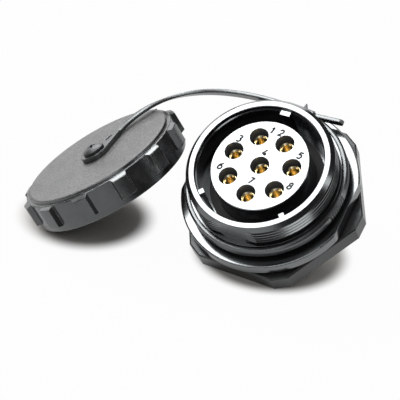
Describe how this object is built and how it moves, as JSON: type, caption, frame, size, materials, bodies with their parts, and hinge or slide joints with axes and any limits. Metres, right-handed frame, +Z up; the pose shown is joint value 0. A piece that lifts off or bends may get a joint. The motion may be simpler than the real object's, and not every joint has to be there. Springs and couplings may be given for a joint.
{
  "type": "circular connector",
  "caption": "Panel-mount circular connector with a keyed threaded barrel, numbered sockets, flange and hex nut, and a screw cap on a moulded strap.",
  "frame": {"origin": "centre of the object's footprint on the table it rests on", "axes": "+Z up from the table, +X from the cap towards the connector, the connector's face leans towards -Y"},
  "size_m": [0.0879, 0.055, 0.0399],
  "materials": {
    "shell_plastic": "smooth moulded black",
    "insert_plastic": "smooth moulded charcoal",
    "contact_gilt": "gilt",
    "ring_plastic": "moulded black",
    "seal_rubber": "matte",
    "nut_plastic": "satin moulded black",
    "strap_plastic": "satin moulded black",
    "screw_steel": "blackened",
    "cap_plastic": "fine moulded texture"
  },
  "bodies": {
    "connector": {"shell": "shell_plastic", "coupling_seal": "seal_rubber", "insert": "insert_plastic", "contact_1": "contact_gilt", "contact_2": "contact_gilt", "contact_3": "contact_gilt", "contact_4": "contact_gilt", "contact_5": "contact_gilt", "contact_6": "contact_gilt", "contact_7": "contact_gilt", "contact_8": "contact_gilt", "insert_retainer": "ring_plastic", "panel_gasket": "seal_rubber"},
    "nut": {"hex_nut": "nut_plastic"},
    "strap": {"strap": "strap_plastic"},
    "cap": {"cap": "cap_plastic", "cap_seal": "seal_rubber", "strap_screw": "screw_steel"}
  },
  "joints": [
    {"name": "nut_turn", "type": "hinge", "parent": "connector", "child": "nut", "pos_m": [0.01958, 0.0081, 0.01483], "axis": [0, -0.5845, 0.8114], "continuous": true},
    {"name": "strap_swivel", "type": "hinge", "parent": "connector", "child": "strap", "pos_m": [0.01958, 0.00252, 0.02258], "axis": [0, -0.5845, 0.8114], "continuous": true},
    {"name": "cap_turn", "type": "hinge", "parent": "strap", "child": "cap", "pos_m": [-0.02568, -0.00591, 0.01965], "axis": [-0.5203, -0.1842, 0.8339], "continuous": true}
  ]
}
